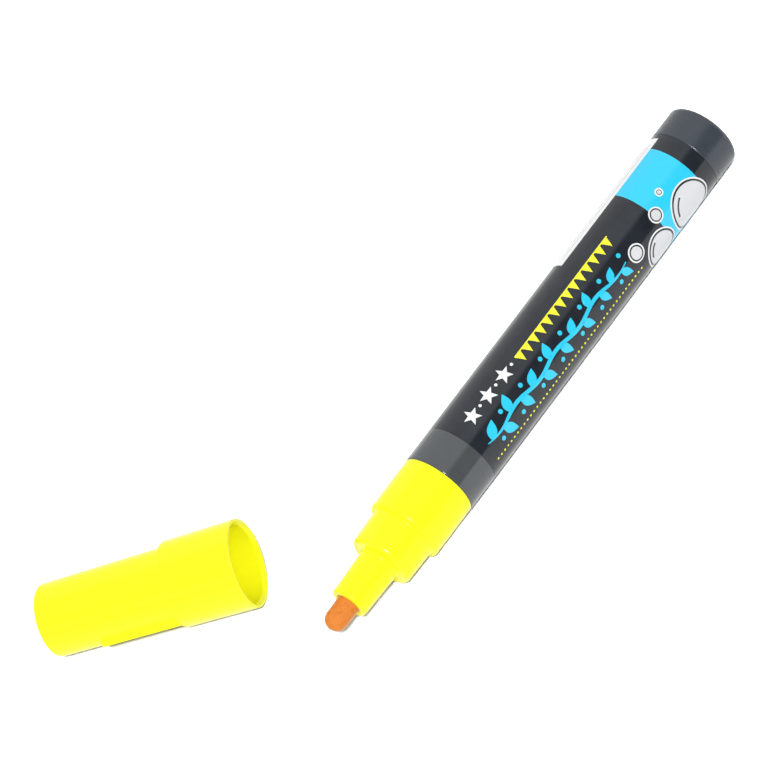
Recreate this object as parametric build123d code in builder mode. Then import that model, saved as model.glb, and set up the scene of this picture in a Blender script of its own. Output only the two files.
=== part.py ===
"""Liquid chalk marker with its cap taken off: a valve marker whose nib pumps the ink.

Millimetres and degrees. +X runs along the barrel from the nib to the tail and +Z is up. The origin
is on the barrel's axis at its front rim, and the table is one barrel radius below it.
"""
import os
from math import atan, cos, pi, radians, sin, sqrt, tan

from build123d import *

# Barrel: a grey tube with a shallow bed for the label
barrel_diameter = 16.0
barrel_length = 86.6
barrel_wall = 1.1
barrel_edge_round = 0.35
front_band_length = 7.9

# Label: a printed film round the barrel, flush with the bare bands
label_thickness = 0.12
label_clearance = 0.03
label_end_gap = 0.05

# Tail plug: closes the barrel and shows as the grey band behind the label
tail_head_length = 7.7
tail_edge_round = 1.2
tail_seam_round = 0.25
tail_spigot_length = 7.0
tail_wall = 1.3

# Pieces that are pushed into one another keep this radial gap
press_clearance = 0.05

# Nib holder: a stepped moulding with a seat for the cap, a shoulder and the nose tube
cap_seat_inset = 0.1
cap_seat_length = 12.0
cap_seat_round = 0.7
shoulder_step = 1.05
shoulder_draft = 0.175
shoulder_length = 7.9
shoulder_round = 1.0
step_fillet = 0.3
nose_root_diameter = 8.4
nose_front_diameter = 7.7
nose_length = 10.5
nose_round = 0.5
nose_fillet = 0.4
nose_mouth_chamfer = 0.25
holder_spigot_length = 10.0
holder_spigot_chamfer = 0.6
holder_spigot_wall = 1.65
holder_front_wall = 2.4

# Nib: a fibre rod with a bullet point that slides in the nose tube
nib_diameter = 4.8
nib_reach = 6.2
nib_inside_length = 17.5
nib_clearance = 0.1
nib_rear_chamfer = 0.4

# Valve seat: a ring behind the feed chamber, with a cone on its ink side
valve_seat_ledge = 0.8
valve_seat_setback = 3.0
valve_seat_thickness = 3.0
valve_bore_diameter = 3.0
valve_seat_margin = 0.2

# Valve stem: the nib pushes its rod, and its cone leaves the seat
stem_rod_diameter = 2.2
stem_head_diameter = 4.2
stem_head_length = 1.2
stem_tail_diameter = 2.0
stem_tail_overhang = 0.5
stem_nib_gap = 0.1
stem_seat_gap = 0.1

# Valve cage: a cup with ink windows that holds the spring
cage_flange_inset = 0.65
cage_flange_thickness = 1.0
cage_body_inset = 0.55
cage_wall = 0.9
cage_body_length = 8.0
cage_end_wall = 1.2
cage_guide_clearance = 0.1
window_count = 3
window_width = 3.2
window_length = 4.6
window_setback = 1.0

# Valve spring: an open wire coil round the stem's tail
spring_wire_diameter = 0.4
spring_coil_diameter = 3.6
spring_turns = 7
spring_end_gap = 0.1

# Mixing ball: lies loose on the floor of the ink space
ball_diameter = 4.8
ball_clearance = 0.2
ball_place_share = 0.64

# Cap: a collar at the mouth, a drafted body and one flat pad that stops it rolling
cap_mouth_wall = 1.08
cap_collar_rear_wall = 0.84
cap_collar_margin = 3.0
cap_body_wall = 0.87
cap_body_length = 28.5
cap_body_draft = 0.28
cap_rim_round = 0.25
cap_collar_round = 0.4
cap_end_round = 1.1
cap_end_wall = 1.6
cap_clearance = 0.2
cap_depth_clearance = 1.0
cap_lead = 0.55
cap_lead_length = 0.8
pad_length = 17.0
pad_front_height = 0.33
pad_end_height = 0.3
pad_width = 9.0
pad_round = 0.4

# Inner cap: a soft cup at the bottom of the cap that seals the nose tube
inner_cap_room_share = 0.57
inner_cap_setback = 2.5
inner_cap_bottom = 1.2
inner_cap_lead = 0.6
seal_clearance = 0.05
nib_room = 0.6
nib_room_length = 1.5

# Where the cap lies: its mouth's centre, the way it faces and how far the pad is rolled from below
cap_mouth_x = -31.04
cap_mouth_y = 26.98
cap_yaw_degrees = -51.36
pad_roll_degrees = 47.5

# One overrun serves every cut, and a round takes at most these shares of its step or wall
cut_overrun = 1.0
outer_round_share = 0.68
inner_round_share = 0.3

# Radii and places that follow from the sizes above
barrel_radius = barrel_diameter / 2
barrel_bore_radius = barrel_radius - barrel_wall
label_inner_radius = barrel_radius - label_thickness
label_bed_radius = label_inner_radius - label_clearance
spigot_radius = barrel_bore_radius - press_clearance
tail_cup_radius = spigot_radius - tail_wall
tail_x = barrel_length + tail_head_length

cap_seat_radius = barrel_radius - cap_seat_inset
shoulder_rear_radius = cap_seat_radius - shoulder_step
shoulder_front_radius = shoulder_rear_radius - shoulder_draft
nose_root_radius = nose_root_diameter / 2
nose_front_radius = nose_front_diameter / 2
shoulder_front_x = -cap_seat_length - shoulder_length
nose_front_x = shoulder_front_x - nose_length

nib_radius = nib_diameter / 2
nib_tip_x = nose_front_x - nib_reach
nib_rear_x = nose_front_x + nib_inside_length
nib_bore_radius = nib_radius + nib_clearance

valve_chamber_radius = spigot_radius - holder_spigot_wall
feed_chamber_radius = valve_chamber_radius - valve_seat_ledge
valve_insert_radius = valve_chamber_radius - press_clearance
valve_bore_radius = valve_bore_diameter / 2
valve_seat_rear_x = valve_seat_setback + valve_seat_thickness

stem_rod_radius = stem_rod_diameter / 2
stem_head_radius = stem_head_diameter / 2
stem_tail_radius = stem_tail_diameter / 2
valve_cone_radius = stem_head_radius + valve_seat_margin
valve_cone_x = valve_seat_rear_x - (valve_cone_radius - valve_bore_radius)
stem_cone_x = valve_cone_x + stem_seat_gap - (valve_bore_radius - stem_rod_radius)
stem_head_x = stem_cone_x + (stem_head_radius - stem_rod_radius)
stem_head_rear_x = stem_head_x + stem_head_length

cage_flange_radius = spigot_radius - cage_flange_inset
cage_body_radius = valve_insert_radius - cage_body_inset
cage_bore_radius = cage_body_radius - cage_wall
cage_body_x = holder_spigot_length + cage_flange_thickness
cage_rear_x = cage_body_x + cage_body_length
cage_guide_radius = stem_tail_radius + cage_guide_clearance

seal_radius = nose_root_radius + seal_clearance
nib_room_radius = nib_radius + nib_room

cap_bore_radius = cap_seat_radius + cap_clearance
cap_lead_radius = cap_bore_radius + cap_lead
cap_shoulder_bore_radius = shoulder_rear_radius + cap_clearance
inner_cap_wall = (cap_shoulder_bore_radius - seal_radius) * inner_cap_room_share
inner_cap_radius = seal_radius + inner_cap_wall
cap_inner_bore_radius = inner_cap_radius + press_clearance
cap_mouth_radius = cap_bore_radius + cap_mouth_wall
cap_collar_rear_radius = cap_bore_radius + cap_collar_rear_wall
cap_body_front_radius = cap_shoulder_bore_radius + cap_body_wall
cap_end_radius = cap_body_front_radius - cap_body_draft
cap_seat_depth = cap_seat_length + cap_depth_clearance
cap_shoulder_depth = cap_seat_depth + shoulder_length
cap_collar_length = cap_seat_depth + cap_collar_margin
cap_length = cap_collar_length + cap_body_length
cap_floor_depth = cap_length - cap_end_wall

inner_cap_mouth_depth = cap_shoulder_depth + inner_cap_setback
inner_cap_step_depth = nib_room_length - nose_front_x

# The cap lies on the rear edge of its collar and on the far corner of its pad
pad_end_depth = cap_collar_length + pad_length
pad_front_radius = cap_body_front_radius + pad_front_height
pad_end_radius = cap_body_front_radius + pad_end_height - cap_body_draft * pad_length / cap_body_length
pad_roll = radians(pad_roll_degrees)
pad_reach = (
    (pad_end_radius - pad_round) * cos(pad_roll)
    + (pad_width / 2 - pad_round) * sin(pad_roll)
    + pad_round
)
cap_tilt = atan((cap_collar_rear_radius - pad_reach) / pad_length)
cap_height = (cap_collar_rear_radius + cap_collar_length * tan(cap_tilt)) * cos(cap_tilt)

# The cap's own plane: local X runs in from the mouth and local Y points through the pad
cap_yaw = radians(cap_yaw_degrees)
cap_heading = Vector(cos(cap_yaw), sin(cap_yaw), 0)
cap_side = Vector(sin(cap_yaw), -cos(cap_yaw), 0)
up = Vector(0, 0, 1)
cap_inward = cap_heading * -cos(cap_tilt) - up * sin(cap_tilt)
cap_below = cap_heading * sin(cap_tilt) - up * cos(cap_tilt)
pad_direction = cap_below * cos(pad_roll) + cap_side * sin(pad_roll)
cap_mouth = Vector(cap_mouth_x, cap_mouth_y, cap_height - barrel_radius)
cap_plane = Plane(origin=cap_mouth, x_dir=cap_inward, z_dir=cap_inward.cross(pad_direction))
cap_axis = Axis(cap_mouth, cap_inward)

# Rounds on thin steps, limited by the step or wall that carries them
nose_step = shoulder_front_radius - nose_root_radius
nose_wall = nose_front_radius - nib_bore_radius
collar_step = cap_collar_rear_radius - cap_body_front_radius
rim_wall = cap_mouth_radius - cap_lead_radius
seat_round = min(cap_seat_round, shoulder_step * outer_round_share)
seat_fillet = min(step_fillet, shoulder_step * inner_round_share)
shoulder_edge_round = min(shoulder_round, nose_step * outer_round_share)
nose_root_fillet = min(nose_fillet, nose_step * inner_round_share)
spigot_chamfer = min(holder_spigot_chamfer, holder_spigot_wall * outer_round_share)
nose_edge_round = min(nose_round, nose_wall * outer_round_share)
nose_edge_chamfer = min(nose_mouth_chamfer, nose_wall * inner_round_share)
collar_round = min(cap_collar_round, collar_step * outer_round_share)
rim_round = min(cap_rim_round, rim_wall * outer_round_share)
inner_lead = min(inner_cap_lead, inner_cap_wall * outer_round_share)


def corners(*points):
    """Give the vertices of the sketch being drawn that lie at the given points."""
    return [vertices().sort_by_distance(Vector(*point))[0] for point in points]


with BuildPart() as barrel:
    with BuildSketch(Plane.XZ):
        with BuildLine():
            Polyline(
                (0, barrel_bore_radius),
                (0, barrel_radius),
                (front_band_length, barrel_radius),
                (front_band_length, label_bed_radius),
                (barrel_length, label_bed_radius),
                (barrel_length, barrel_bore_radius),
                close=True,
            )
        make_face()
        fillet(corners((0, barrel_radius)), radius=barrel_edge_round)
    revolve(axis=Axis.X)

with BuildPart() as label_wrap:
    with BuildSketch(Plane.XZ):
        with BuildLine():
            Polyline(
                (front_band_length + label_end_gap, label_inner_radius),
                (front_band_length + label_end_gap, barrel_radius),
                (barrel_length - label_end_gap, barrel_radius),
                (barrel_length - label_end_gap, label_inner_radius),
                close=True,
            )
        make_face()
    revolve(axis=Axis.X)

with BuildPart() as tail_plug:
    with BuildSketch(Plane.XZ):
        with BuildLine():
            Polyline(
                (barrel_length - tail_spigot_length, tail_cup_radius),
                (barrel_length - tail_spigot_length, spigot_radius),
                (barrel_length, spigot_radius),
                (barrel_length, barrel_radius),
                (tail_x, barrel_radius),
                (tail_x, 0),
                (tail_x - tail_wall, 0),
                (tail_x - tail_wall, tail_cup_radius),
                close=True,
            )
        make_face()
        fillet(corners((tail_x, barrel_radius)), radius=tail_edge_round)
        fillet(corners((barrel_length, barrel_radius)), radius=tail_seam_round)
    revolve(axis=Axis.X)

with BuildPart() as nib_holder:
    with BuildSketch(Plane.XZ):
        with BuildLine():
            Polyline(
                (holder_spigot_length, valve_chamber_radius),
                (holder_spigot_length, spigot_radius),
                (0, spigot_radius),
                (0, cap_seat_radius),
                (-cap_seat_length, cap_seat_radius),
                (-cap_seat_length, shoulder_rear_radius),
                (shoulder_front_x, shoulder_front_radius),
                (shoulder_front_x, nose_root_radius),
                (nose_front_x, nose_front_radius),
                (nose_front_x, nib_bore_radius),
                (shoulder_front_x + holder_front_wall, nib_bore_radius),
                (shoulder_front_x + holder_front_wall, feed_chamber_radius),
                (valve_seat_setback, feed_chamber_radius),
                (valve_seat_setback, valve_chamber_radius),
                close=True,
            )
        make_face()
        fillet(corners((-cap_seat_length, cap_seat_radius)), radius=seat_round)
        fillet(corners((-cap_seat_length, shoulder_rear_radius)), radius=seat_fillet)
        fillet(corners((shoulder_front_x, shoulder_front_radius)), radius=shoulder_edge_round)
        fillet(corners((shoulder_front_x, nose_root_radius)), radius=nose_root_fillet)
        fillet(corners((nose_front_x, nose_front_radius)), radius=nose_edge_round)
        chamfer(corners((nose_front_x, nib_bore_radius)), length=nose_edge_chamfer)
        chamfer(corners((holder_spigot_length, spigot_radius)), length=spigot_chamfer)
    revolve(axis=Axis.X)

with BuildPart() as nib:
    with BuildSketch(Plane.XZ):
        with BuildLine():
            Polyline(
                (nib_tip_x, 0),
                (nib_rear_x, 0),
                (nib_rear_x, nib_radius),
                (nib_tip_x + nib_radius, nib_radius),
            )
            RadiusArc((nib_tip_x + nib_radius, nib_radius), (nib_tip_x, 0), -nib_radius)
        make_face()
        chamfer(corners((nib_rear_x, nib_radius)), length=nib_rear_chamfer)
    revolve(axis=Axis.X)

with BuildPart() as valve_seat:
    with BuildSketch(Plane.XZ):
        with BuildLine():
            Polyline(
                (valve_seat_setback, valve_bore_radius),
                (valve_seat_setback, valve_insert_radius),
                (valve_seat_rear_x, valve_insert_radius),
                (valve_seat_rear_x, valve_cone_radius),
                (valve_cone_x, valve_bore_radius),
                close=True,
            )
        make_face()
    revolve(axis=Axis.X)

with BuildPart() as valve_stem:
    with BuildSketch(Plane.XZ):
        with BuildLine():
            Polyline(
                (nib_rear_x + stem_nib_gap, 0),
                (nib_rear_x + stem_nib_gap, stem_rod_radius),
                (stem_cone_x, stem_rod_radius),
                (stem_head_x, stem_head_radius),
                (stem_head_rear_x, stem_head_radius),
                (stem_head_rear_x, stem_tail_radius),
                (cage_rear_x + stem_tail_overhang, stem_tail_radius),
                (cage_rear_x + stem_tail_overhang, 0),
                close=True,
            )
        make_face()
    revolve(axis=Axis.X)

with BuildPart() as valve_cage:
    with BuildSketch(Plane.XZ):
        with BuildLine():
            Polyline(
                (valve_seat_rear_x, cage_bore_radius),
                (valve_seat_rear_x, valve_insert_radius),
                (holder_spigot_length, valve_insert_radius),
                (holder_spigot_length, cage_flange_radius),
                (cage_body_x, cage_flange_radius),
                (cage_body_x, cage_body_radius),
                (cage_rear_x, cage_body_radius),
                (cage_rear_x, cage_guide_radius),
                (cage_rear_x - cage_end_wall, cage_guide_radius),
                (cage_rear_x - cage_end_wall, cage_bore_radius),
                close=True,
            )
        make_face()
    revolve(axis=Axis.X)
    with BuildSketch(Plane.YZ.offset(cage_body_x + window_setback)):
        with PolarLocations(cage_body_radius, window_count):
            Rectangle(cage_body_radius, window_width)
    extrude(amount=window_length, mode=Mode.SUBTRACT)

# The spring's helix runs from the stem's head to the cage's end wall
spring_wire_radius = spring_wire_diameter / 2
spring_radius = spring_coil_diameter / 2
spring_front_x = stem_head_rear_x + spring_end_gap + spring_wire_radius
spring_rear_x = cage_rear_x - cage_end_wall - spring_wire_radius
spring_pitch = (spring_rear_x - spring_front_x) / spring_turns


def spring_point(turn):
    """Give the point on the spring's helix after so many turns."""
    angle = 2 * pi * turn
    along = spring_front_x + spring_pitch * turn
    return Vector(along, spring_radius * cos(angle), spring_radius * sin(angle))


def spring_tangent(turn):
    """Give the unit tangent of the spring's helix after so many turns."""
    angle = 2 * pi * turn
    round_speed = 2 * pi * spring_radius
    return Vector(spring_pitch, -round_speed * sin(angle), round_speed * cos(angle)).normalized()


def biarc_joint(start, start_tangent, end, end_tangent):
    """Give the point where two arcs with these end tangents meet, and their common tangent there."""
    chord = end - start
    along = chord.dot(start_tangent + end_tangent)
    bend = 2 * (1 - start_tangent.dot(end_tangent))
    reach = (sqrt(along * along + bend * chord.dot(chord)) - along) / bend
    first = start + start_tangent * reach
    second = end - end_tangent * reach
    return (first + second) / 2, second - first


with BuildPart() as valve_spring:
    with BuildLine() as spring_path:
        for half_turn in range(2 * spring_turns):
            start = spring_point(half_turn / 2)
            end = spring_point((half_turn + 1) / 2)
            start_tangent = spring_tangent(half_turn / 2)
            end_tangent = spring_tangent((half_turn + 1) / 2)
            joint, joint_tangent = biarc_joint(start, start_tangent, end, end_tangent)
            TangentArc(start, joint, tangent=start_tangent)
            TangentArc(joint, end, tangent=joint_tangent)
    with BuildSketch(Plane(origin=spring_point(0), z_dir=spring_tangent(0))):
        Circle(spring_wire_radius)
    sweep(path=spring_path.wires()[0])
print("spring: clear gap between turns", round(spring_pitch - spring_wire_diameter, 3))

ball_radius = ball_diameter / 2
ball_x = barrel_length * ball_place_share
ball_z = ball_clearance + ball_radius - barrel_bore_radius

with BuildPart() as mixing_ball:
    with Locations((ball_x, 0, ball_z)):
        Sphere(ball_radius)

# The pad is a flat lug on the cap's body that starts at the round of the collar, drafted and rounded on top
pad_start_depth = cap_collar_length - collar_round

with BuildPart() as roll_pad:
    with BuildSketch(cap_plane):
        with BuildLine():
            Polyline(
                (pad_start_depth, 0),
                (pad_start_depth, pad_front_radius),
                (pad_end_depth, pad_end_radius),
                (pad_end_depth, 0),
                close=True,
            )
        make_face()
    extrude(amount=pad_width / 2, both=True)
    pad_top = faces().sort_by(Axis(cap_mouth, pad_direction))[-1]
    fillet(pad_top.edges(), radius=pad_round)

with BuildPart() as cap:
    with BuildSketch(cap_plane):
        with BuildLine():
            Polyline(
                (0, 0),
                (0, cap_mouth_radius),
                (cap_collar_length, cap_collar_rear_radius),
                (cap_collar_length, cap_body_front_radius),
                (cap_length, cap_end_radius),
                (cap_length, 0),
                close=True,
            )
        make_face()
        fillet(corners((0, cap_mouth_radius)), radius=rim_round)
        fillet(corners((cap_collar_length, cap_collar_rear_radius)), radius=collar_round)
        fillet(corners((cap_length, cap_end_radius)), radius=cap_end_round)
    revolve(axis=cap_axis)
    add(roll_pad.part)
    with BuildSketch(cap_plane):
        with BuildLine():
            Polyline(
                (-cut_overrun, 0),
                (-cut_overrun, cap_lead_radius),
                (0, cap_lead_radius),
                (cap_lead_length, cap_bore_radius),
                (cap_seat_depth, cap_bore_radius),
                (cap_seat_depth, cap_shoulder_bore_radius),
                (cap_shoulder_depth, cap_shoulder_bore_radius),
                (cap_shoulder_depth, cap_inner_bore_radius),
                (cap_floor_depth, cap_inner_bore_radius),
                (cap_floor_depth, 0),
                close=True,
            )
        make_face()
    revolve(axis=cap_axis, mode=Mode.SUBTRACT)

with BuildPart() as inner_cap:
    with BuildSketch(cap_plane):
        with BuildLine():
            Polyline(
                (inner_cap_mouth_depth, seal_radius + inner_lead),
                (inner_cap_mouth_depth, inner_cap_radius),
                (cap_floor_depth, inner_cap_radius),
                (cap_floor_depth, 0),
                (cap_floor_depth - inner_cap_bottom, 0),
                (cap_floor_depth - inner_cap_bottom, nib_room_radius),
                (inner_cap_step_depth, nib_room_radius),
                (inner_cap_step_depth, seal_radius),
                (inner_cap_mouth_depth + inner_lead, seal_radius),
                close=True,
            )
        make_face()
    revolve(axis=cap_axis)

pieces = {
    "barrel": barrel,
    "label_wrap": label_wrap,
    "tail_plug": tail_plug,
    "nib_holder": nib_holder,
    "nib": nib,
    "valve_seat": valve_seat,
    "valve_stem": valve_stem,
    "valve_cage": valve_cage,
    "valve_spring": valve_spring,
    "mixing_ball": mixing_ball,
    "cap": cap,
    "inner_cap": inner_cap,
}

os.makedirs("parts", exist_ok=True)
for name, piece in pieces.items():
    piece.part.label = name
    export_step(piece.part, f"parts/{name}.step")
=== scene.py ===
"""Looks of a liquid chalk marker with its cap taken off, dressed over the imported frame.

Metres. +X runs along the barrel from the nib to the tail, +Z is up, and the origin is on the barrel's axis.
"""
import math

import bmesh
import bpy
from mathutils import Matrix, Vector


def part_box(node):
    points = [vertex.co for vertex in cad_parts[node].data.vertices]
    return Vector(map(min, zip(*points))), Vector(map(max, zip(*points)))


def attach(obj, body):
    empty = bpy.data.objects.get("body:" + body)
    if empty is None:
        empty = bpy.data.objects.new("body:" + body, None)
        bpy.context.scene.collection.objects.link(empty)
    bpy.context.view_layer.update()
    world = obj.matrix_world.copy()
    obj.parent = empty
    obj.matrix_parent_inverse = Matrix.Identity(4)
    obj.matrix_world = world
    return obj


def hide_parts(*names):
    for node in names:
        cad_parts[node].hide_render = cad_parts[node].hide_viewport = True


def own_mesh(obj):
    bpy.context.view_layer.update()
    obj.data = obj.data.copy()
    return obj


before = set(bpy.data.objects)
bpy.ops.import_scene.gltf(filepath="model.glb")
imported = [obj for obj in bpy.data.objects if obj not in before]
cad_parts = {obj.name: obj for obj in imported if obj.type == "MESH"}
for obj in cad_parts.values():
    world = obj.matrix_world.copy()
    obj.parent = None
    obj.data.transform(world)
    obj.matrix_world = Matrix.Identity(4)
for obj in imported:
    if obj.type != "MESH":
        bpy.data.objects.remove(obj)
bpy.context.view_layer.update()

MM = 0.001

# Places read from the frame
label_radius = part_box("label_wrap")[1].z
floor_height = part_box("barrel")[0].z

# The label is printed on plain coordinates: along the barrel from its rim, and round it from the line that
# faces the viewer, positive towards the viewer's lower side
print_facing = math.radians(43.8)
ink_thickness = 0.01 * MM
ink_sink = 0.03 * MM
ink_step = 0.3 * MM
ink_sharp_angle = math.radians(40)

# Printed ornaments, in millimetres on the label
star_places = (13.2, 18.6, 24.0)
star_round = -3.1
star_radius = 2.0
star_waist_share = 0.42
star_spikes = 5
spark_lead = 2.7
spark_radius = 0.34
spark_points = 20
pennant_start = 29.2
pennant_pitch = 2.32
pennant_count = 14
pennant_width = 1.85
pennant_height = 2.1
pennant_line_round = -3.3
pennant_line_width = 0.28
pennant_overlap = 0.01
vine_start = 10.6
vine_end = 58.6
vine_round = 2.85
vine_swing = 0.5
vine_waves = 3.5
vine_steps = 120
vine_stem_width = 0.85
vine_tip_share = 0.25
vine_widening = 4
leaf_count = 14
leaf_first_share = 0.35
leaf_length = 4.1
leaf_width = 2.25
leaf_lean = math.radians(54)
leaf_shrink_share = 0.22
leaf_fullness = 0.8
leaf_points = 9
berry_lead = 2.1
berry_out = 2.0
berry_radius = 0.5
berry_points = 20
dot_start = 10.4
dot_end = 60.6
dot_count = 46
dot_round = 7.0
dot_radius = 0.24
dot_points = 14
band_start = 69.9
band_end = 82.6
band_seam = 0.15
panel_start = 50.9
panel_end = 85.4
panel_upper_round = -8.2
panel_lower_round = -17.6
rule_count = 6
rule_width = 0.16
rule_margin = 1.6
bubbles = ((78.0, 7.3, 5.6), (67.2, 8.4, 4.4), (61.6, 3.6, 2.0), (70.4, 2.0, 1.7), (74.6, -0.3, 0.9))
bubble_points = 48
bubble_border = 0.32
bubble_line = 0.42
bubble_line_share = 0.16
bubble_shine_share = 0.66
bubble_shine_least = 3.0
bubble_shine_start = math.radians(185)
bubble_shine_end = math.radians(250)
bubble_shine_points = 16
note_rows = 6
note_start = 12.0
note_end = 45.0
note_end_spare = 2.5
note_first_round = -13.0
note_row_pitch = 1.35
note_height = 0.55
note_gap = 0.6
note_word_least = 1.1
note_word_step = 0.55
note_word_sizes = 5
note_word_stride = 7


def add_object(name, data):
    """Put a new object into the scene."""
    made = bpy.data.objects.new(name, data)
    bpy.context.scene.collection.objects.link(made)
    return made


# Materials

# Grain of the materials, in features per metre
moulding_cloud_grain = 400.0
moulding_flow_grain = 2600.0
moulding_skin_grain = 9000.0
film_cloud_grain = 300.0
print_patch_grain = 1600.0
print_fleck_grain = 7000.0
nib_fibre_grain = 5200.0
nib_blot_grain = 900.0
nib_pore_grain = 6000.0
steel_scratch_grain = 8000.0

# Shares that draw grain out along the barrel
moulding_flow_share = 0.06
nib_fibre_share = 0.12
steel_scratch_share = 0.1

# Depths of the grain
skin_depth = 0.02 * MM
nib_fibre_depth = 0.08 * MM


class Shader:
    """A material's node tree with a principled shader and short ways to add nodes."""

    def __init__(self, name):
        self.material = bpy.data.materials.new(name)
        self.material.use_nodes = True
        self.tree = self.material.node_tree
        self.surface = self.tree.nodes["Principled BSDF"]

    def feed(self, socket, value):
        """Link another node's output to a socket, or set a constant on it."""
        if isinstance(value, bpy.types.NodeSocket):
            self.tree.links.new(value, socket)
        else:
            socket.default_value = value

    def fill(self, node, inputs):
        for name, value in inputs.items():
            self.feed(node.inputs[name.replace("_", " ")], value)

    def node(self, kind, **inputs):
        made = self.tree.nodes.new(kind)
        self.fill(made, inputs)
        return made

    def set(self, **inputs):
        self.fill(self.surface, inputs)

    def place(self, along_share=1):
        """Give the piece's own coordinates, those along the barrel shortened to a share."""
        coordinates = self.tree.nodes.new("ShaderNodeTexCoord").outputs["Object"]
        return self.node("ShaderNodeMapping", Vector=coordinates, Scale=(along_share, 1, 1)).outputs["Vector"]

    def noise(self, place, scale, detail=4.0, roughness=0.55):
        made = self.node("ShaderNodeTexNoise", Vector=place, Scale=scale, Detail=detail, Roughness=roughness)
        return made.outputs["Fac"]

    def span(self, value, between, gives):
        """Carry a value over from one range to another."""
        low, high = between
        new_low, new_high = gives
        made = self.node(
            "ShaderNodeMapRange", Value=value, From_Min=low, From_Max=high, To_Min=new_low, To_Max=new_high)
        return made.outputs["Result"]

    def mix(self, share, first, second):
        """Give a colour between two others."""
        made = self.tree.nodes.new("ShaderNodeMix")
        made.data_type = "RGBA"
        sockets = {socket.identifier: socket for socket in made.inputs}
        self.feed(sockets["Factor_Float"], share)
        self.feed(sockets["A_Color"], first)
        self.feed(sockets["B_Color"], second)
        return next(socket for socket in made.outputs if socket.identifier == "Result_Color")

    def bump(self, height, strength, distance):
        made = self.node("ShaderNodeBump", Height=height, Strength=strength, Distance=distance)
        return made.outputs["Normal"]


def moulded_plastic(name, colour, shade, roughness, ior=1.5):
    """Make a smooth moulding: faint clouds and flow lines in its colour, and a fine skin in its gloss."""
    shader = Shader(name)
    place = shader.place()
    clouds = shader.noise(place, moulding_cloud_grain)
    lines = shader.noise(shader.place(moulding_flow_share), moulding_flow_grain, detail=2.0)
    skin = shader.noise(place, moulding_skin_grain, detail=2.0)
    tint = shader.mix(shader.span(clouds, between=(0.35, 0.65), gives=(0, 1)), colour, shade)
    shader.set(
        Base_Color=shader.mix(shader.span(lines, between=(0.55, 0.8), gives=(0, 0.35)), tint, shade),
        Roughness=shader.span(clouds, between=(0.3, 0.7), gives=(roughness * 0.85, roughness * 1.2)),
        Normal=shader.bump(skin, strength=0.05, distance=skin_depth),
        IOR=ior,
    )
    return shader.material


def label_film(name, colour, shade):
    """Make the printed film: black ink with a faint screen of flecks under a clear face."""
    shader = Shader(name)
    place = shader.place()
    clouds = shader.noise(place, film_cloud_grain)
    flecks = shader.noise(place, print_fleck_grain, detail=2.0)
    tint = shader.mix(shader.span(clouds, between=(0.35, 0.65), gives=(0, 1)), colour, shade)
    shader.set(
        Base_Color=shader.mix(shader.span(flecks, between=(0.62, 0.85), gives=(0, 0.5)), tint, shade),
        Roughness=shader.span(clouds, between=(0.3, 0.7), gives=(0.1, 0.15)),
        Normal=shader.bump(flecks, strength=0.03, distance=skin_depth),
        IOR=1.5,
    )
    return shader.material


def print_ink(name, colour, shade):
    """Make one printed colour: dense ink with chalky, slightly thinner patches."""
    shader = Shader(name)
    place = shader.place()
    patches = shader.noise(place, print_patch_grain, detail=5.0, roughness=0.65)
    flecks = shader.noise(place, print_fleck_grain, detail=2.0)
    shader.set(
        Base_Color=shader.mix(shader.span(patches, between=(0.48, 0.75), gives=(0, 0.8)), colour, shade),
        Roughness=shader.span(patches, between=(0.3, 0.7), gives=(0.12, 0.2)),
        Normal=shader.bump(flecks, strength=0.03, distance=skin_depth),
        IOR=1.5,
    )
    return shader.material


def soaked_fibre(name, colour, dark, pale):
    """Make the nib: bonded fibres along its axis, soaked unevenly with ink."""
    shader = Shader(name)
    place = shader.place()
    fibres = shader.noise(shader.place(nib_fibre_share), nib_fibre_grain, detail=6.0, roughness=0.7)
    blots = shader.noise(place, nib_blot_grain, detail=5.0, roughness=0.65)
    pores = shader.noise(place, nib_pore_grain, detail=3.0)
    wet = shader.mix(shader.span(blots, between=(0.5, 0.72), gives=(0, 0.75)), colour, dark)
    worn = shader.mix(shader.span(fibres, between=(0.52, 0.75), gives=(0, 0.55)), wet, pale)
    shader.set(
        Base_Color=shader.mix(shader.span(pores, between=(0.6, 0.78), gives=(0, 0.6)), worn, dark),
        Roughness=shader.span(fibres, between=(0.3, 0.7), gives=(0.65, 0.85)),
        Normal=shader.bump(fibres, strength=0.5, distance=nib_fibre_depth),
        IOR=1.4,
        Sheen_Weight=0.8,
        Sheen_Roughness=0.35,
        Sheen_Tint=(1.0, 0.86, 0.66, 1),
    )
    return shader.material


def bright_steel(name, colour, pale):
    """Make drawn steel with fine scratches."""
    shader = Shader(name)
    scratches = shader.noise(shader.place(steel_scratch_share), steel_scratch_grain, detail=3.0)
    shader.set(
        Base_Color=shader.mix(scratches, colour, pale),
        Roughness=shader.span(scratches, between=(0.3, 0.7), gives=(0.18, 0.34)),
        Metallic=1.0,
    )
    return shader.material


yellow_plastic = moulded_plastic(
    "yellow_plastic", (0.98, 0.965, 0.012, 1), (0.965, 0.945, 0.010, 1), roughness=0.21, ior=1.31)
grey_plastic = moulded_plastic(
    "grey_plastic", (0.066, 0.074, 0.080, 1), (0.060, 0.068, 0.074, 1), roughness=0.11, ior=1.6)
tail_plastic = moulded_plastic(
    "tail_plastic", (0.043, 0.052, 0.066, 1), (0.039, 0.047, 0.060, 1), roughness=0.26)
white_plastic = moulded_plastic(
    "white_plastic", (0.80, 0.81, 0.80, 1), (0.74, 0.75, 0.74, 1), roughness=0.35)
seal_plastic = moulded_plastic(
    "seal_plastic", (0.84, 0.85, 0.76, 1), (0.78, 0.80, 0.70, 1), roughness=0.45)
steel = bright_steel("steel", (0.52, 0.52, 0.53, 1), (0.66, 0.66, 0.67, 1))
film_black = label_film("film_black", (0.0112, 0.0148, 0.0205, 1), (0.0162, 0.0208, 0.0275, 1))
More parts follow.
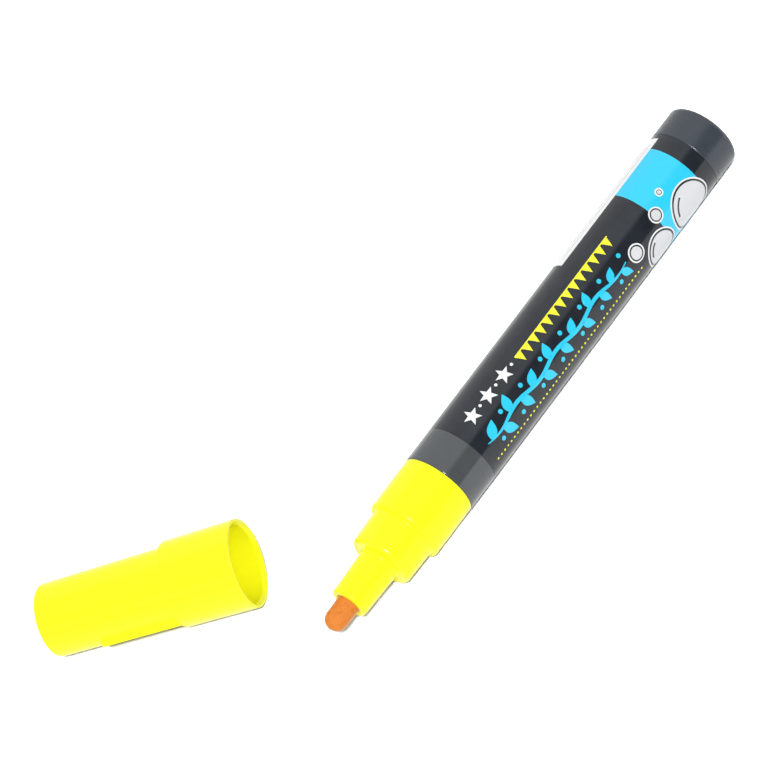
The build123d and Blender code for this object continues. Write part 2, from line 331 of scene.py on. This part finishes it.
fibre = soaked_fibre(
    "fibre", (0.7011, 0.2086, 0.0194, 1), (0.4735, 0.0976, 0.0048, 1), (0.7991, 0.305, 0.0529, 1))
ink_cyan = print_ink("ink_cyan", (0.030, 0.605, 0.88, 1), (0.027, 0.565, 0.83, 1))
ink_yellow = print_ink("ink_yellow", (0.93, 0.90, 0.03, 1), (0.86, 0.82, 0.03, 1))
ink_white = print_ink("ink_white", (0.89, 0.89, 0.89, 1), (0.86, 0.86, 0.86, 1))
ink_pale = print_ink("ink_pale", (0.685, 0.70, 0.715, 1), (0.635, 0.65, 0.67, 1))
ink_dark = print_ink("ink_dark", (0.03, 0.034, 0.045, 1), (0.045, 0.05, 0.06, 1))
ink_grey = print_ink("ink_grey", (0.42, 0.43, 0.44, 1), (0.36, 0.37, 0.38, 1))

node_materials = {
    "barrel": grey_plastic,
    "tail_plug": tail_plastic,
    "label_wrap": film_black,
    "nib_holder": yellow_plastic,
    "nib": fibre,
    "cap": yellow_plastic,
    "inner_cap": seal_plastic,
    "valve_seat": white_plastic,
    "valve_stem": white_plastic,
    "valve_cage": white_plastic,
    "valve_spring": steel,
    "mixing_ball": steel,
}
for node_name, material in node_materials.items():
    node_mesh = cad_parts[node_name].data
    node_mesh.materials.clear()
    node_mesh.materials.append(material)


# Valve spring


def closing_coil():
    """Copy the spring as a piece of its own that rides on the barrel, in place of the frame's spring."""
    coil = add_object("closing_coil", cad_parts["valve_spring"].data.copy())
    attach(coil, "barrel")
    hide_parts("valve_spring")
    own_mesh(coil)


closing_coil()


# Printing on the label


def on_label(along, round_, radius):
    """Give the point on the label at a place along and round it, at a distance from the barrel's axis."""
    angle = print_facing + round_ / label_radius
    return Vector((along, -radius * math.sin(angle), radius * math.cos(angle)))


def flat_sheet(shapes):
    """Fill flat shapes, each a list of loops whose later ones are holes, and slice them for bending."""
    flat = bmesh.new()
    for loops in shapes:
        edges = []
        for loop in loops:
            verts = [flat.verts.new((along * MM, round_ * MM, 0)) for along, round_ in loop]
            edges += [flat.edges.new(pair) for pair in zip(verts, verts[1:] + verts[:1])]
        bmesh.ops.triangle_fill(flat, edges=edges, use_beauty=True, use_dissolve=False)
    low = min(v.co.y for v in flat.verts)
    high = max(v.co.y for v in flat.verts)
    for cut in range(math.ceil(low / ink_step), math.floor(high / ink_step) + 1):
        geometry = flat.verts[:] + flat.edges[:] + flat.faces[:]
        bmesh.ops.bisect_plane(flat, geom=geometry, plane_co=(0, cut * ink_step, 0), plane_no=(0, 1, 0))
    return flat


def print_on_label(name, shapes, layer, material):
    """Lay shapes on the label as one thin closed coat of ink, on top of the coats below it."""
    flat = flat_sheet(shapes)
    outer = label_radius + layer * ink_thickness
    inner = label_radius - ink_sink
    coat = bmesh.new()
    upper = {v: coat.verts.new(on_label(v.co.x, v.co.y, outer)) for v in flat.verts}
    lower = {v: coat.verts.new(on_label(v.co.x, v.co.y, inner)) for v in flat.verts}
    for face in flat.faces:
        coat.faces.new([upper[v] for v in face.verts])
        coat.faces.new([lower[v] for v in reversed(face.verts)])
    for edge in flat.edges:
        if edge.is_boundary:
            first, second = edge.verts
            coat.faces.new((upper[first], lower[first], lower[second], upper[second]))
    bmesh.ops.recalc_face_normals(coat, faces=coat.faces[:])
    mesh = bpy.data.meshes.new(name)
    coat.to_mesh(mesh)
    flat.free()
    coat.free()
    mesh.shade_smooth()
    mesh.set_sharp_from_angle(angle=ink_sharp_angle)
    mesh.materials.append(material)
    piece = add_object(name, mesh)
    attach(piece, "barrel")


def around(along, round_, radius, angle):
    """Give the point at a distance and an angle from a centre."""
    return along + radius * math.cos(angle), round_ + radius * math.sin(angle)


def rectangle(start, end, low, high):
    return [(start, low), (end, low), (end, high), (start, high)]


def disc(along, round_, radius, points=bubble_points):
    return [around(along, round_, radius, 2 * math.pi * i / points) for i in range(points)]


def star(along, round_):
    """Give a star that points across the label."""
    corners = []
    for i in range(2 * star_spikes):
        reach = star_radius if i % 2 == 0 else star_radius * star_waist_share
        corners.append(around(along, round_, reach, math.pi * i / star_spikes - math.pi / 2))
    return corners


def leaf(along, round_, heading, length, width):
    """Give a pointed leaf that starts at a place and grows along a heading, fuller near its root."""
    sides = {1: [], -1: []}
    for side, outline in sides.items():
        for i in range(leaf_points + 1):
            share = i / leaf_points
            half = side * width / 2 * math.sin(math.pi * share ** leaf_fullness)
            reach = length * share
            outline.append((
                along + reach * math.cos(heading) - half * math.sin(heading),
                round_ + reach * math.sin(heading) + half * math.cos(heading),
            ))
    return sides[1] + sides[-1][-2:0:-1]


def arc_band(along, round_, radius, width, start, end, points):
    """Give a bent stroke of even width about a centre."""
    angles = [start + (end - start) * i / points for i in range(points + 1)]
    outside = [around(along, round_, radius + width / 2, angle) for angle in angles]
    inside = [around(along, round_, radius - width / 2, angle) for angle in angles]
    return outside + inside[::-1]


def vine_line(share):
    """Give the place and heading of the vine's stem after a share of its length."""
    length = vine_end - vine_start
    phase = 2 * math.pi * vine_waves * share
    slope = vine_swing * 2 * math.pi * vine_waves / length * math.cos(phase)
    return vine_start + length * share, vine_round + vine_swing * math.sin(phase), math.atan(slope)


def vine_shapes():
    """Give a leafy vine: a swaying stem with thin ends, leaves in turn and a berry across from each."""
    upper, lower = [], []
    for i in range(vine_steps + 1):
        share = i / vine_steps
        along, round_, _ = vine_line(share)
        from_end = min(share, 1 - share)
        half = vine_stem_width / 2 * min(1.0, vine_tip_share + vine_widening * from_end)
        upper.append((along, round_ + half))
        lower.append((along, round_ - half))
    shapes = [[lower + upper[::-1]]]
    for i in range(leaf_count):
        side = 1 if i % 2 else -1
        along, round_, heading = vine_line((i + leaf_first_share) / leaf_count)
        growth = 1 - leaf_shrink_share * i / leaf_count
        out = heading + side * leaf_lean
        shapes.append([leaf(along, round_, out, leaf_length * growth, leaf_width * growth)])
        shapes.append([disc(along + berry_lead, vine_round - side * berry_out, berry_radius, berry_points)])
    return shapes


def star_shapes():
    """Give a row of stars with a spark after each."""
    stars = [[star(along, star_round)] for along in star_places]
    sparks = [[disc(along + spark_lead, star_round, spark_radius, spark_points)] for along in star_places]
    return stars + sparks


def pennant_shapes():
    """Give a line with a row of pennants on it."""
    half = pennant_width / 2
    line_end = pennant_start + (pennant_count - 0.5) * pennant_pitch
    line_low = pennant_line_round - pennant_line_width
    shapes = [[rectangle(pennant_start - half, line_end, line_low, pennant_line_round)]]
    root = pennant_line_round - pennant_overlap
    for i in range(pennant_count):
        middle = pennant_start + i * pennant_pitch
        shapes.append([[(middle - half, root), (middle + half, root), (middle, root + pennant_height)]])
    return shapes


def dot_shapes():
    """Give an even row of dots."""
    step = (dot_end - dot_start) / (dot_count - 1)
    return [[disc(dot_start + i * step, dot_round, dot_radius, dot_points)] for i in range(dot_count)]


def rule_shapes():
    """Give the ruled lines on the panel."""
    start = panel_start + rule_margin
    end = panel_end - rule_margin
    pitch = (panel_upper_round - panel_lower_round) / (rule_count + 1)
    lines = [panel_lower_round + (i + 1) * pitch for i in range(rule_count)]
    return [[rectangle(start, end, line, line + rule_width)] for line in lines]


def bubble_outline(along, round_, radius):
    """Give the drawn lines of a bubble: its ring and, in a large one, a short shine."""
    outer = radius - bubble_border
    line = min(bubble_line, radius * bubble_line_share)
    shapes = [[disc(along, round_, outer), disc(along, round_, outer - line)]]
    if radius > bubble_shine_least:
        reach = radius * bubble_shine_share
        shine = arc_band(
            along, round_, reach, line, bubble_shine_start, bubble_shine_end, bubble_shine_points)
        shapes.append([shine])
    return shapes


def note_shapes():
    """Give rows of plain dashes of several lengths."""
    shapes = []
    for row in range(note_rows):
        high = note_first_round - row * note_row_pitch
        along = note_start
        word = row
        while along < note_end - note_end_spare:
            length = note_word_least + note_word_step * (word * note_word_stride % note_word_sizes)
            shapes.append([rectangle(along, along + length, high - note_height, high)])
            along += length + note_gap
            word += 1
    return shapes


half_round = math.pi * label_radius / MM
band = [[rectangle(band_start, band_end, band_seam - half_round, half_round - band_seam)]]
panel = [[rectangle(panel_start, panel_end, panel_lower_round, panel_upper_round)]]
bubble_borders = [[disc(along, round_, radius)] for along, round_, radius in bubbles]
bubble_fills = [[disc(along, round_, radius - bubble_border)] for along, round_, radius in bubbles]
bubble_lines = [shape for bubble in bubbles for shape in bubble_outline(*bubble)]

print_on_label("cyan_band", band, layer=1, material=ink_cyan)
print_on_label("cyan_vine", vine_shapes(), layer=1, material=ink_cyan)
print_on_label("white_stars", star_shapes(), layer=1, material=ink_white)
print_on_label("yellow_pennants", pennant_shapes(), layer=1, material=ink_yellow)
print_on_label("yellow_dots", dot_shapes(), layer=1, material=ink_yellow)
print_on_label("grey_notes", note_shapes(), layer=1, material=ink_grey)
print_on_label("white_panel", panel, layer=2, material=ink_white)
print_on_label("panel_rules", rule_shapes(), layer=3, material=ink_grey)
print_on_label("bubble_borders", bubble_borders, layer=2, material=ink_white)
print_on_label("bubble_fills", bubble_fills, layer=3, material=ink_pale)
print_on_label("bubble_lines", bubble_lines, layer=4, material=ink_dark)


# Stage, light and camera

camera_place = Vector((-0.27542, -0.56753, 0.62104))
camera_right = Vector((0.57699, -0.70765, -0.40784))
camera_up = Vector((0.75094, 0.26323, 0.60564))
camera_back = camera_right.cross(camera_up)
camera_lens = 211.4
camera_clip_start = 0.01
camera_target = Vector((0.01353, 0.02256, 0.00591))
floor_size = 6.0
floor_shade = 0.52
floor_mirror_shade = 0.27
floor_bounce_shade = 0.19
floor_sun_strength = 17.0
floor_sun_angle = math.radians(10)
floor_sun_rise = math.radians(6.5)
floor_sun_left = math.radians(4.5)
key_power = 4.95
key_size = 0.07
key_rise = math.radians(4)
key_left = math.radians(-1.5)
glint_power = 9.0
glint_size = 0.06
glint_rise = math.radians(5)
glint_left = math.radians(3)
back_towards = Vector((0.2, 0.65, 0.73))
back_power = 2.3
back_size = 0.5
side_towards = Vector((-0.93, -0.2, 0.3))
side_power = 1.3
side_size = 0.3
lamp_distance = 0.9
dome_strength = 0.47
card_radius = 0.6
card_height = 0.68
card_start = math.radians(-190)
card_end = math.radians(-45)
card_steps = 48
card_left_dark = 0.5
card_right_dark = 0.08
card_dark_share = 0.72


def seen_directly(tree):
    """Give 1 for rays from the camera, a mirror or glass, and 0 for light that falls on things."""
    path = tree.nodes.new("ShaderNodeLightPath")
    first = tree.nodes.new("ShaderNodeMath")
    first.operation = "MAXIMUM"
    second = tree.nodes.new("ShaderNodeMath")
    second.operation = "MAXIMUM"
    tree.links.new(path.outputs["Is Camera Ray"], first.inputs[0])
    tree.links.new(path.outputs["Is Glossy Ray"], first.inputs[1])
    tree.links.new(first.outputs[0], second.inputs[0])
    tree.links.new(path.outputs["Is Transmission Ray"], second.inputs[1])
    return second.outputs[0]


def floor_paper():
    """Make plain grey paper that its sun lights to white, darker in mirrors and in the light it bounces."""
    material = bpy.data.materials.new("floor_paper")
    material.use_nodes = True
    tree = material.node_tree
    tree.nodes.clear()
    shade = tree.nodes.new("ShaderNodeMapRange")
    shade.inputs["To Max"].default_value = floor_shade
    mirrored = tree.nodes.new("ShaderNodeMapRange")
    mirrored.inputs["To Min"].default_value = floor_bounce_shade
    mirrored.inputs["To Max"].default_value = floor_mirror_shade
    path = tree.nodes.new("ShaderNodeLightPath")
    paper = tree.nodes.new("ShaderNodeBsdfDiffuse")
    output = tree.nodes.new("ShaderNodeOutputMaterial")
    tree.links.new(seen_directly(tree), mirrored.inputs["Value"])
    tree.links.new(path.outputs["Is Camera Ray"], shade.inputs["Value"])
    tree.links.new(mirrored.outputs["Result"], shade.inputs["To Min"])
    tree.links.new(shade.outputs["Result"], paper.inputs["Color"])
    tree.links.new(paper.outputs[0], output.inputs["Surface"])
    return material


def studio_floor():
    """Lay the floor that the marker and its cap lie on."""
    half = floor_size / 2
    mesh = bpy.data.meshes.new("studio_floor")
    corners = [(x, y, floor_height) for x, y in ((-half, -half), (half, -half), (half, half), (-half, half))]
    mesh.from_pydata(corners, [], [(0, 1, 2, 3)])
    mesh.materials.append(floor_paper())
    floor = add_object("studio_floor", mesh)
    return floor


def graded_card():
    """Make a card that is dark at its foot and white at its top, and darker towards its right end."""
    material = bpy.data.materials.new("graded_card")
    material.use_nodes = True
    tree = material.node_tree
    tree.nodes.clear()
    place = tree.nodes.new("ShaderNodeTexCoord")
    parts = tree.nodes.new("ShaderNodeSeparateXYZ")
    across = tree.nodes.new("ShaderNodeMapRange")
    across.inputs["To Min"].default_value = card_left_dark
    across.inputs["To Max"].default_value = card_right_dark
    height = tree.nodes.new("ShaderNodeMapRange")
    height.inputs["From Min"].default_value = card_dark_share
    grade = tree.nodes.new("ShaderNodeMix")
    grade.inputs["B"].default_value = 1.0
    glow = tree.nodes.new("ShaderNodeEmission")
    output = tree.nodes.new("ShaderNodeOutputMaterial")
    tree.links.new(place.outputs["Generated"], parts.inputs[0])
    tree.links.new(parts.outputs["X"], across.inputs["Value"])
    tree.links.new(parts.outputs["Z"], height.inputs["Value"])
    tree.links.new(height.outputs["Result"], grade.inputs["Factor"])
    tree.links.new(across.outputs["Result"], grade.inputs["A"])
    tree.links.new(grade.outputs["Result"], glow.inputs["Strength"])
    tree.links.new(glow.outputs[0], output.inputs["Surface"])
    return material


def studio_card():
    """Stand a graded card round the viewer's side, which only mirrors show, as the dark side of a room."""
    verts = []
    for i in range(card_steps + 1):
        angle = card_start + (card_end - card_start) * i / card_steps
        x, y = around(camera_target.x, camera_target.y, card_radius, angle)
        verts += [(x, y, floor_height), (x, y, card_height)]
    faces = [(2 * i, 2 * i + 2, 2 * i + 3, 2 * i + 1) for i in range(card_steps)]
    mesh = bpy.data.meshes.new("studio_card")
    mesh.from_pydata(verts, [], faces)
    mesh.materials.append(graded_card())
    card = add_object("studio_card", mesh)
    card.visible_camera = False
    card.visible_diffuse = False
    card.visible_shadow = False


def studio_world():
    """Make an even dome of soft light that looks white to the camera and in mirrors."""
    world = bpy.data.worlds.new("studio")
    world.use_nodes = True
    tree = world.node_tree
    tree.nodes.clear()
    dome = tree.nodes.new("ShaderNodeBackground")
    dome.inputs["Strength"].default_value = dome_strength
    white = tree.nodes.new("ShaderNodeBackground")
    for background in (dome, white):
        background.inputs["Color"].default_value = (1, 1, 1, 1)
    blend = tree.nodes.new("ShaderNodeMixShader")
    output = tree.nodes.new("ShaderNodeOutputWorld")
    tree.links.new(seen_directly(tree), blend.inputs[0])
    tree.links.new(dome.outputs[0], blend.inputs[1])
    tree.links.new(white.outputs[0], blend.inputs[2])
    tree.links.new(blend.outputs[0], output.inputs["Surface"])
    bpy.context.scene.world = world


def by_camera(rise, left):
    """Give a direction a little off the camera's, so that most of each shadow hides behind its piece."""
    return camera_back + math.tan(rise) * camera_up - math.tan(left) * camera_right


def turned_lamp(name, lamp, towards):
    """Put a lamp into the scene that shines from one direction."""
    hung = add_object(name, lamp)
    hung.rotation_mode = "QUATERNION"
    hung.rotation_quaternion = towards.to_track_quat("Z", "Y")
    return hung


def floor_sun(floor):
    """Light the floor alone, white up to a narrow shadow beside each piece."""
    lamp = bpy.data.lights.new("floor_sun", "SUN")
    lamp.energy = floor_sun_strength
    lamp.angle = floor_sun_angle
    sun = turned_lamp("floor_sun", lamp, by_camera(floor_sun_rise, floor_sun_left))
    lit = bpy.data.collections.new("lit_by_floor_sun")
    lit.objects.link(floor)
    sun.light_linking.receiver_collection = lit


def studio_lamp(name, towards, power, size):
    """Hang a round soft lamp at one distance from the object and turn it to face the object."""
    lamp = bpy.data.lights.new(name, "AREA")
    lamp.shape = "DISK"
    lamp.size = size
    lamp.energy = power
    hung = turned_lamp(name, lamp, towards)
    hung.location = camera_target + towards.normalized() * lamp_distance
    return hung


def spare_floor(lamp, floor):
    """Keep a lamp's light off the floor, which has its own sun."""
    spared = bpy.data.collections.new("spared_by_" + lamp.name)
    spared.objects.link(floor)
    spared.collection_objects[0].light_linking.link_state = "EXCLUDE"
    lamp.light_linking.receiver_collection = spared


def studio_lamps(floor):
    """Hang a key and a glinting lamp by the camera, a soft one behind the marker and one ahead of it."""
    key = studio_lamp("studio_key", by_camera(key_rise, key_left), key_power, key_size)
    key.visible_glossy = False
    spare_floor(key, floor)
    glint = studio_lamp("studio_glint", by_camera(glint_rise, glint_left), glint_power, glint_size)
    glint.visible_diffuse = False
    back = studio_lamp("studio_back", back_towards, back_power, back_size)
    back.visible_glossy = False
    side = studio_lamp("studio_side", side_towards, side_power, side_size)
    side.visible_glossy = False
    spare_floor(side, floor)


def photo_camera():
    """Look at the object as the photo does."""
    camera_data = bpy.data.cameras.new("photo_camera")
    camera_data.lens = camera_lens
    camera_data.clip_start = camera_clip_start
    camera = add_object("photo_camera", camera_data)
    turn = Matrix((camera_right, camera_up, camera_back)).transposed()
    camera.matrix_world = Matrix.Translation(camera_place) @ turn.to_4x4()
    bpy.context.scene.camera = camera


studio_ground = studio_floor()
floor_sun(studio_ground)
studio_lamps(studio_ground)
studio_card()
studio_world()
photo_camera()
bpy.context.scene.view_settings.view_transform = "Standard"
